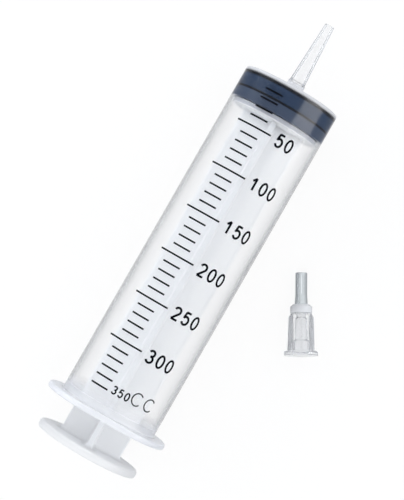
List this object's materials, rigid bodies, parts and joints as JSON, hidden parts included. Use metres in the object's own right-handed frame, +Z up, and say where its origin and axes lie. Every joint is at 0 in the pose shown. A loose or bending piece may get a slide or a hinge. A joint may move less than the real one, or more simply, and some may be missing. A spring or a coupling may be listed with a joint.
{
  "type": "syringe",
  "caption": "Large clear plastic syringe with a printed volume scale, finger flange, ribbed plunger, dark rubber stopper, tapered nozzle and a loose nozzle adapter.",
  "frame": {"origin": "on the surface that the syringe lies on, in the middle of the finger flange's lower flat", "axes": "+X along the barrel towards the nozzle, +Z up through the printed scale, +Y along one wing of the flange"},
  "size_m": [0.2536, 0.1154, 0.0578],
  "materials": {
    "barrel_plastic": "milky translucent moulded polypropylene",
    "stopper_rubber": "smooth dark slate rubber",
    "plunger_plastic": "pale translucent moulded polypropylene",
    "scale_ink": "flat black printing ink",
    "adapter_plastic": "clear moulded plastic",
    "tube_steel": "drawn steel"
  },
  "bodies": {
    "barrel": {"barrel": "barrel_plastic", "short_marks": "scale_ink", "long_marks": "scale_ink", "scale_numbers": "scale_ink"},
    "stopper": {"stopper": "stopper_rubber"},
    "plunger": {"plunger_rod": "plunger_plastic"},
    "adapter": {"adapter_hub": "adapter_plastic", "adapter_tube": "tube_steel"}
  },
  "joints": [
    {"name": "plunger_slide", "type": "slide", "parent": "barrel", "child": "stopper", "axis": [-1, 0, 0], "range_m": [0, 0.1768]},
    {"name": "rod_turn", "type": "hinge", "parent": "stopper", "child": "plunger", "pos_m": [0.17, 0, 0.0289], "axis": [1, 0, 0], "continuous": true},
    {"name": "adapter_lift", "type": "slide", "parent": "barrel", "child": "adapter", "axis": [0, 0, 1], "range_m": [0, 0.06]}
  ]
}
